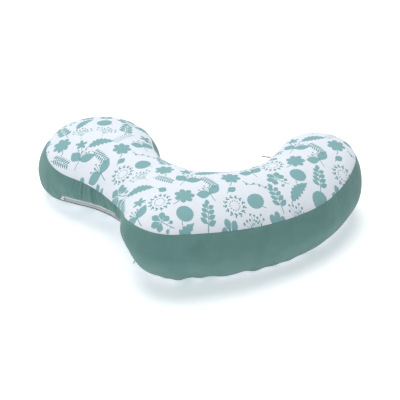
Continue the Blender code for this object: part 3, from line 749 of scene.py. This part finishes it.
def pucker(here, depth, amount):
    """Small ripples that run in from a seam and fade with depth."""
    reach = np.exp(-depth / (11 * MM)) * (1 - np.exp(-depth / (2 * MM)))
    return amount * np.abs(crumple(here, 17 * MM, 11)) * reach


def make_panel(name, upper, seed, node):
    rim, edge, height = panel_surface(upper, 0.0)
    low, high = rim.min(axis=0), rim.max(axis=0)
    outlines, inks = leaf_print(low, high, seed)
    near = [k for k, o in enumerate(outlines) if inside(o, rim).any()]
    shapes = [outlines[k] for k in near]
    points, faces, numbers = cut_panel(rim, PANEL_RINGS, PANEL_SPACING, shapes)
    z = height(points)
    for start in range(0, len(points), 2000):
        block = points[start : start + 2000]
        square = ((block[:, None] - rim[None]) ** 2).sum(axis=2)
        nearest = square.argmin(axis=1)
        here, depth = nearest * ROUND / RIM_COUNT, np.sqrt(square.min(axis=1))
        dent = pucker(here, depth, 1.6 * MM)
        slack = 1.1 * MM * crumple(block[:, 0] + 0.4 * block[:, 1], 95 * MM, 21, block[:, 1] * 22)
        slack = slack * (1 - np.exp(-depth / (25 * MM)))
        z[start : start + 2000] += (slack - dent) if upper else dent * 0.5
    z[: len(rim)] = edge
    if not upper:
        z = np.maximum(z, 0.0)
    ink = np.array([0] + [inks[k] for k in near])[numbers] / 3
    faces = faces if upper else [f[::-1] for f in faces]
    piece = make_piece(name, np.column_stack([points, z]), faces, "pillow", "printed_cotton", poplin)
    layer = piece.data.attributes.new("ink", "FLOAT", "CORNER")
    layer.data.foreach_set("value", np.repeat(ink, 3).astype(np.float32))
    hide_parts(node)


make_panel("printed_top", True, 4, "cover_top_panel")
make_panel("printed_underside", False, 9, "cover_bottom_panel")

# The side band.
# Two lengths of plain sage cotton joined end to end, sewn between the panels. The longer one is gathered
# at the lobe and hard gathered at the waist, where the seam bends in.

JOINS = [min(range(RIM_COUNT), key=lambda k: abs(RIM[k] - s)) for s in (0.10, 5.90)]
BAND_SHARES = np.array([0.0, 0.004, 0.012, 0.025, 0.045, *np.linspace(0.07, 0.985, 38), 1.0])
HEM_TURN = 1.2 * MM
HEM_RISE = 9 * MM


BAND_STEP = ROUND / (3 * RIM_COUNT)


def eased_rows(share):
    return (1 - np.cos(math.pi * np.clip(share, 0.0, 1.0))) / 2


def pleats(where, pitch, seed, drift=0.0):
    """Rounded folds with sharp valleys between them, from 0 to 1, uneven in width and height."""
    bend = crumple(where, 4.5 * pitch, seed, drift)
    strength = 0.62 + 0.38 * crumple(where, 2.7 * pitch, seed + 1, drift)
    return strength * np.abs(np.sin(math.pi * where / pitch + 2.4 * bend + drift)) ** 0.7


def side_folds(station, shares):
    """How far out the band's folds push each row at one station."""
    here = distance_of(station)
    down = shares * (seam_z(station) - low_z(station))
    rows = 1 - np.exp(-down / (2.5 * MM))
    calm = 1 - 0.8 * np.clip((shares - 0.82) / 0.18, 0.0, 1.0)
    hard = window(station, 1.06, 1.80, 0.3)
    out = hard * 7.5 * MM * (pleats(here - 14 * MM * (1 - shares), 9.5 * MM, 3, 0.5 * shares) - 0.45)
    lobe = window(station, 0.5, 1.15, 0.25)
    out = out + lobe * 4.2 * MM * pleats(here, 8.0 * MM, 8) * eased_rows((shares - 0.3) / 0.6)
    ripple = pleats(here, 10 * MM, 14, 1.2 * shares)
    belly = 0.35 + 0.8 * window(station, 2.0, 4.8, 0.5)
    out = out + belly * 1.5 * MM * ripple * np.exp(-down / (15 * MM))
    soft = crumple(here, 88 * MM, 31, shares * 2.2)
    out = out * calm + 1.6 * MM * soft * np.sin(math.pi * shares)
    join = min(abs(here - distance_of(RIM[k])) for k in JOINS)
    out = out - 1.2 * MM * math.exp(-((join / (3 * MM)) ** 2)) * np.sin(math.pi * shares) ** 0.3
    return out * rows - 0.9 * MM * np.exp(-down / (1.2 * MM))


def make_band(name, first, last, node):
    columns = []
    for k in range(3 * first, 3 * last + 1):
        station = station_of(k * BAND_STEP)
        edge_z = low_z(station) + hem_wave(station) + slot_height(station) + 0.3 * MM
        out = side_folds(station, BAND_SHARES)
        rows = band_rows(station, BAND_SHARES, 0.0, edge_z, (out, 0.0))
        _, normal = seam_point(station)
        inward = np.array([*-normal, 0.0])
        open_zip = slot_height(station) / SLOT_H
        hem = rows[-1] + HEM_TURN * inward * open_zip
        columns.append(np.vstack([rows, hem, hem + np.array([0, 0, HEM_RISE * open_zip])]))
    depth = len(columns[0])
    faces, total = [], len(columns)
    for i in range(total - 1):
        a, b = i * depth, (i + 1) * depth
        faces += [(a + k + 1, b + k + 1, b + k, a + k) for k in range(depth - 1)]
    piece = make_piece(name, np.vstack(columns), faces, "pillow", "sage_cotton", sage)
    across = piece.data.uv_layers.new(name="cloth")
    lengths = np.arange(total) * BAND_STEP
    downs = np.append(BAND_SHARES * 0.12, [0.121, 0.13])
    uv = np.stack([np.repeat(lengths, depth), np.tile(downs, total)], axis=1)
    corners = np.empty(len(piece.data.loops), int)
    piece.data.loops.foreach_get("vertex_index", corners)
    across.data.foreach_set("uv", uv[corners].ravel())
    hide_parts(node)


# Cotton poplin, piece dyed sage green: matt with a faint bloom, and the same square weave.
sage, tree, shader = material_of("dyed_cotton_poplin", "5B837F", 0.9, **BLOOM)
place = add_node(tree, "TexCoord")
square_weave(tree, shader, place.outputs["UV"])
cloud = add_node(tree, "TexNoise", {"Vector": place.outputs["Object"], "Scale": 28.0, "Detail": 5.0})
shade = add_node(tree, "ValToRGB", {"Fac": cloud.outputs["Fac"]})
shade.color_ramp.elements[0].position, shade.color_ramp.elements[0].color = 0.3, linear("577F7A")
shade.color_ramp.elements[1].position, shade.color_ramp.elements[1].color = 0.7, linear("608984")
tree.links.new(shade.outputs["Color"], shader.inputs["Base Color"])

make_band("side_band_outer", JOINS[0], JOINS[1], "cover_band_outer")
make_band("side_band_inner", JOINS[1], JOINS[0] + RIM_COUNT, "cover_band_inner")

# The zip.
# A white nylon coil zip, size 5: two woven tapes sewn behind the band's edge and to the underside, a coil
# sewn along each, metal end stops, and a painted die-cast slider with a long pull. It closes at the belly.

TAPE_IN = 1.3 * MM
TAPE = 0.6 * MM
TAPE_LEAD = 16 * MM
TAPE_TAIL = 10 * MM
TAPE_STEP = 2.5 * MM
CHAIN_SPLIT = 1.6 * MM
COIL_W = 2.4 * MM
COIL_PITCH = 1.5 * MM
COIL_WIRE = 0.34 * MM
STOP_L = 2.2 * MM
SLIDER_L = 10.5 * MM
SLIDER_W = 8.4 * MM
SLIDER_REST = 2 * MM
SLIDER_FACE = -1.9 * MM
SLIDER_PLATE = 1.0 * MM
SLIDER_BACK = 2.4 * MM
BAIL_R = 0.6 * MM
BAIL_SPAN = 5.6 * MM
BAIL_X = SLIDER_FACE - SLIDER_PLATE - 2.6 * MM
PULL_LEAN = 25 * DEG


def zip_frame(station):
    """(point, out, up) on the lower seam: out of the pillow and across the zip."""
    point, normal = seam_point(station)
    base = np.array([*(point - low_inset(station) * normal), low_z(station)])
    if not on_zip_arc(station):
        return base, np.array([*normal, 0.0]), np.array([0.0, 0.0, 1.0])
    return base, (ZIP_CENTRE - base) / ZIP_R, ZIP_AXIS


def on_zip(station, out, up):
    """A point beside the zip: out from the lower seam, and up from the zip's middle."""
    base, outward, upward = zip_frame(station)
    return base + out * outward + (up + SLOT_H / 2) * upward


def strip(rows_of, stations):
    """Points and faces of a strip whose rows_of(station) gives one row across it."""
    rows = [rows_of(s) for s in stations]
    depth = len(rows[0])
    faces = []
    for i in range(len(rows) - 1):
        a, b = i * depth, (i + 1) * depth
        faces += [(a + k, a + k + 1, b + k + 1, b + k) for k in range(depth - 1)]
    return np.vstack(rows), faces


def tube(path, radius, sides):
    """Points and faces of a round bar along a path."""
    path = np.array(path)
    ahead = np.gradient(path, axis=0)
    ahead /= np.linalg.norm(ahead, axis=1)[:, None]
    side = np.cross(ahead, (0.3, 0.2, 0.93))
    side /= np.linalg.norm(side, axis=1)[:, None]
    other = np.cross(ahead, side)
    turns = np.arange(sides) * 2 * math.pi / sides
    turns = turns[None, :, None]
    ring = side[:, None] * np.cos(turns) + other[:, None] * np.sin(turns)
    points = (path[:, None] + radius * ring).reshape(-1, 3)
    faces = []
    for i in range(len(path) - 1):
        for k in range(sides):
            n = (k + 1) % sides
            faces.append((i * sides + k, i * sides + n, (i + 1) * sides + n, (i + 1) * sides + k))
    faces += [tuple(range(sides))[::-1], tuple(range((len(path) - 1) * sides, len(path) * sides))]
    return points, faces


# Polyester tape, woven narrow in a herringbone: white, with a faint sheen along its ribs.
# Its ribs are 0.5 mm apart and are drawn 1.2 mm apart so that they show.
tape_cloth, tree, shader = material_of("woven_polyester_tape", "F2F4F6", 0.7, IOR=1.55, Sheen_Weight=0.15)
place = add_node(tree, "TexCoord")
RIB_SCALE = 2 * math.pi / (1.2 * MM) / 20
ribs = add_node(tree, "TexWave", {"Vector": place.outputs["Object"], "Scale": RIB_SCALE}, bands_direction="Z")
rib_bump = add_node(tree, "Bump", {"Height": ribs.outputs["Fac"], "Strength": 0.5, "Distance": 0.2 * MM})
tree.links.new(rib_bump.outputs["Normal"], shader.inputs["Normal"])

# Nylon monofilament, wound and heat set: smooth, white and a little see-through.
nylon, tree, shader = material_of("wound_nylon_filament", "DDE2E5", 0.32, IOR=1.53, Subsurface_Weight=0.1)
place = add_node(tree, "TexCoord")
haze = add_node(tree, "TexNoise", {"Vector": place.outputs["Object"], "Scale": 900.0})
clouding = add_node(tree, "MapRange", {"Value": haze.outputs["Fac"], "To Min": 0.28, "To Max": 0.4})
tree.links.new(clouding.outputs["Result"], shader.inputs["Roughness"])

# Zinc alloy, die cast and dip painted white: smooth and glossy, thinner at its edges.
lacquer = {"Coat_Weight": 0.3, "Coat_Roughness": 0.15}
enamel, tree, shader = material_of("painted_zinc_casting", "A2A7A9", 0.3, IOR=1.5, **lacquer)
grain(tree, shader, {"Scale": 1400.0}, 0.1, 0.05 * MM)

zip_first = distance_of(station_of(distance_of(1.0) - ZIP_LEAD)) + SLOT_RAMP
zip_last = distance_of(ZIP_TO)
tape_stations = [station_of(d) for d in np.arange(zip_first - TAPE_LEAD, zip_last + TAPE_TAIL, TAPE_STEP)]


def upper_tape(station):
    top = on_zip(station, -TAPE_IN - 0.9 * MM, SLOT_H / 2 + 9 * MM)
    return [top, on_zip(station, -TAPE_IN - 0.3 * MM, SLOT_H / 2), on_zip(station, -TAPE_IN, CHAIN_SPLIT / 2)]


def lower_tape(station):
    foot = -SLOT_H / 2 + TAPE_IN
    back = on_zip(station, -TAPE_IN - 5 * MM, foot - 0.5 * MM)
    return [on_zip(station, -TAPE_IN, -CHAIN_SPLIT / 2), on_zip(station, -TAPE_IN, foot), back]


TAPES = (("tape_upper", upper_tape, 1, 0.014), ("tape_lower", lower_tape, -1, 0.0105))
for name, rows_of, way, width in TAPES:
    piece = make_piece(name, *strip(rows_of, tape_stations), "pillow", "zip_tape", tape_cloth)
    thick = piece.modifiers.new("thick", "SOLIDIFY")
    thick.thickness, thick.offset = TAPE, way
    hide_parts("zip_" + name)


def coil_path(side):
    """The coil's winding: narrow loops with their heads towards the other half."""
    length = zip_last - zip_first - 2 * STOP_L - 1 * MM
    loops = int(length / COIL_PITCH)
    path = []
    for k in range(loops * 8):
        turn = k * math.pi / 4 + (math.pi if side < 0 else 0.0)
        along_it = zip_first + STOP_L + 0.5 * MM + k * COIL_PITCH / 8
        up = CHAIN_SPLIT / 2 + COIL_W / 2 + (COIL_W / 2 - COIL_WIRE) * math.cos(turn)
        path.append(on_zip(station_of(along_it), 0.25 * MM + 0.75 * MM * math.sin(turn), side * up))
    return path


for name, side, node in (("coil_upper", 1, "zip_coil_upper"), ("coil_lower", -1, "zip_coil_lower")):
    piece = make_piece(name, *tube(coil_path(side), COIL_WIRE, 5), "pillow", "zip_coil", nylon)
    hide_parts(node)
for node in ("zip_top_stop_upper", "zip_top_stop_lower", "zip_bottom_stop"):
    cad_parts[node].data.materials.clear()
    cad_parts[node].data.materials.append(enamel)


def plate(outline, low, high):
    """A flat plate between two depths, from its outline across the zip."""
    count = len(outline)
    points = [(depth, y, z) for depth in (low, high) for y, z in outline]
    faces = [tuple(range(count)), tuple(range(2 * count - 1, count - 1, -1))]
    faces += [(k, count + k, count + (k + 1) % count, (k + 1) % count) for k in range(count)]
    return np.array(points), faces


def fixed_piece(name, parts, placed, body, node):
    """One piece of several plates and tubes, placed by a matrix."""
    points, faces = [], []
    for part in parts:
        faces += [tuple(len(points) + i for i in f) for f in part[1]]
        points += [tuple(placed @ Vector(p)) for p in part[0]]
    piece = make_piece(name, points, faces, body, "coated_metal", enamel)
    edge = piece.modifiers.new("edge", "BEVEL")
    edge.width, edge.segments, edge.limit_method, edge.angle_limit = 0.22 * MM, 3, "ANGLE", 40 * DEG
    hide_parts(node)
    return piece


turn = (ZIP_SPARE + STOP_L + SLIDER_REST + SLIDER_L / 2) / ZIP_R
axis = Vector(ZIP_AXIS)
radial = Matrix.Rotation(turn, 3, axis) @ Vector(-zip_frame(ZIP_ARC[1])[1])
travel = Matrix((radial, axis.cross(radial), axis)).transposed().to_4x4()
travel.translation = Vector(ZIP_CENTRE) + axis * SLOT_H / 2
on_slider = travel @ Matrix.Translation((ZIP_R, 0.0, 0.0))

half_l, half_w = SLIDER_L / 2, SLIDER_W / 2
shield = [(-half_l, 0.62), (-half_l + 0.9 * MM, 0.95), (-half_l + 2.5 * MM, 1.0), (0.0, 0.97)]
shield += [(half_l - 2.6 * MM, 0.80), (half_l - 0.8 * MM, 0.74), (half_l, 0.60)]
outline = [(y, share * half_w) for y, share in shield] + [(y, -share * half_w) for y, share in shield[::-1]]
slider_parts = [plate(outline, SLIDER_FACE - SLIDER_PLATE, SLIDER_FACE)]
slider_parts.append(plate(outline, SLIDER_BACK, SLIDER_BACK + SLIDER_PLATE))
for side in (-1, 1):
    rail = [(-half_l + 1 * MM, side * half_w * 0.94), (half_l - 3 * MM, side * half_w * 0.79)]
    rail += [(y, z - side * 0.7 * MM) for y, z in rail[::-1]]
    slider_parts.append(plate(rail, SLIDER_FACE - 0.3 * MM, 0.7 * MM))
post = [(-half_l + 0.3 * MM, 0.5 * MM), (-half_l + 2.5 * MM, 0.3 * MM)]
post += [(y, -z) for y, z in post[::-1]]
slider_parts.append(plate(post, SLIDER_FACE - 0.3 * MM, SLIDER_BACK + 0.3 * MM))
reach = BAIL_SPAN / 2 + BAIL_R / 2
bail = [(SLIDER_FACE - 0.4 * MM, -reach, 0), (BAIL_X + 1.2 * MM, -reach, 0)]
bail += [(BAIL_X + 0.3 * MM, -reach + 0.25 * MM, 0), (BAIL_X, -reach + 1.0 * MM, 0)]
bail += [(x, -y, z) for x, y, z in bail[::-1]]
slider_parts.append(tube(bail, BAIL_R * 0.95, 10))
fixed_piece("slider", slider_parts, on_slider, "slider", "zip_slider")

on_pull = travel @ Matrix.Translation((ZIP_R + BAIL_X, 0.0, 0.0)) @ Matrix.Rotation(PULL_LEAN, 4, "Y")
half = [(1.15, -1.3), (1.2, -3.4), (1.9, -5.4), (2.8, -7.6)]
half += [(3.0, -10.0), (3.0, -23.8), (2.5, -25.8), (1.4, -26.8)]
tongue = [(y * MM, z * MM) for y, z in half] + [(-y * MM, z * MM) for y, z in half[::-1]]
pull_parts = [plate(tongue, -0.6 * MM, 0.6 * MM)]
raised = [(y * 0.68, z * 0.62 - 8.6 * MM) for y, z in tongue]
pull_parts.append(plate(raised, -0.75 * MM, 0.75 * MM))
sides = 20
eye = []
for radius, y in ((1.15, -1.2), (2.15, -1.2), (2.15, 1.2), (1.15, 1.2)):
    for k in range(sides):
        angle = k * 2 * math.pi / sides
        eye.append((radius * math.cos(angle) * MM, y * MM, radius * math.sin(angle) * MM))
eye_faces = []
for ring in range(4):
    a, b = ring * sides, ((ring + 1) % 4) * sides
    eye_faces += [(a + k, b + k, b + (k + 1) % sides, a + (k + 1) % sides) for k in range(sides)]
pull_parts.append((np.array(eye), eye_faces))
fixed_piece("pull", pull_parts, on_pull, "pull", "zip_pull")

# The ribbon label.
# A blank loop of white satin ribbon, folded in half and caught in the upper seam at the short arm.

LABEL_AT = 6 + 1 / 12
LABEL_DROOP = 18 * DEG
LABEL_L = 28 * MM
LABEL_W = 12 * MM

# Polyester satin ribbon: long floats along the ribbon give it a soft shine across its width.
satin, tree, shader = material_of("satin_woven_ribbon", "F4F5F6", 0.42, IOR=1.55, Sheen_Weight=0.2)
grain(tree, shader, {"Scale": 1500.0, "Detail": 2.0}, 0.2, 0.1 * MM)

point, normal = seam_point(LABEL_AT)
tangent = np.array([-normal[1], normal[0]])
root_z = seam_z(LABEL_AT)
loop = []
tip_r = 0.9 * MM
straight = LABEL_L - 1.6 * MM
for share in np.linspace(0.0, 1.0, 12):
    loop.append((share * straight, 0.5 * MM + 1.1 * MM * math.sin(math.pi * share) + 0.4 * MM * share))
for turned in np.linspace(0.5, math.pi - 0.5, 7):
    loop.append((straight + tip_r * math.sin(turned), tip_r * math.cos(turned)))
for share in np.linspace(1.0, 0.0, 12):
    loop.append((share * straight, -0.5 * MM - 0.6 * MM * math.sin(math.pi * share) - 0.4 * MM * share))
rows = []
for out, up in loop:
    sag = 0.5 * MM * (out / LABEL_L) ** 2
    row = []
    for across in np.linspace(-0.5, 0.5, 7):
        twist = 6 * MM * across * (0.2 + 0.8 * out / LABEL_L)
        level = out * math.cos(LABEL_DROOP) + up * math.sin(LABEL_DROOP)
        rise = up * math.cos(LABEL_DROOP) - out * math.sin(LABEL_DROOP) - sag + twist
        row.append((*(point + normal * (level - 0.5 * MM) + tangent * across * LABEL_W), root_z + rise))
    rows.append(row)
points, faces = strip(lambda k: rows[k], range(len(rows)))
label = make_piece("ribbon_label", points, faces, "pillow", "label_ribbon", satin)
thick = label.modifiers.new("thick", "SOLIDIFY")
thick.thickness, thick.offset = 0.3 * MM, 0.0
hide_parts("side_label")

# The studio.
# A plain pale floor, a big soft light overhead and a weaker one from the left, as for a shop's picture.

TARGET = Vector((5.4, -17.8, 70.0)) * MM
ELEVATION = 36.36 * DEG
DISTANCE = 1900 * MM

floor_mesh = bpy.data.meshes.new("floor")
floor_mesh.from_pydata([(-8, -8, 0), (8, -8, 0), (8, 8, 0), (-8, 8, 0)], [], [(0, 1, 2, 3)])
floor = bpy.data.objects.new("floor", floor_mesh)
bpy.context.scene.collection.objects.link(floor)
GLOW = {"Emission_Color": (0.94, 0.97, 1.0, 1.0), "Emission_Strength": 0.36}
paper, tree, shader = material_of("matt_white_paper", "F7F8F9", 1.0, **GLOW)
floor_mesh.materials.append(paper)

bpy.context.scene.view_settings.view_transform = "Standard"
world = bpy.data.worlds.new("studio")
bpy.context.scene.world = world
world.use_nodes = True
world.node_tree.nodes["Background"].inputs["Color"].default_value = (0.95, 0.975, 1.0, 1.0)
world.node_tree.nodes["Background"].inputs["Strength"].default_value = 0.5


def soft_light(name, place, aim, size, watts):
    light = bpy.data.lights.new(name, "AREA")
    light.shape, light.size, light.energy = "DISK", size, watts
    lamp = bpy.data.objects.new(name, light)
    bpy.context.scene.collection.objects.link(lamp)
    lamp.location = place
    lamp.rotation_euler = (Vector(aim) - Vector(place)).to_track_quat("-Z", "Y").to_euler()
    return lamp


soft_light("overhead", (-0.3, 0.5, 2.6), (0.0, 0.0, 0.1), 2.2, 56.0)
soft_light("left_front", (-1.9, -1.5, 1.5), (0.0, 0.0, 0.1), 1.4, 6.0)

camera_data = bpy.data.cameras.new("camera")
camera_data.sensor_width = 36.0
camera_data.lens = 85.2
camera = bpy.data.objects.new("camera", camera_data)
bpy.context.scene.collection.objects.link(camera)
away = Vector((0.0, -math.cos(ELEVATION), math.sin(ELEVATION)))
camera.location = TARGET + DISTANCE * away
camera.rotation_euler = (math.pi / 2 - ELEVATION, 0.0, 0.0)
bpy.context.scene.camera = camera
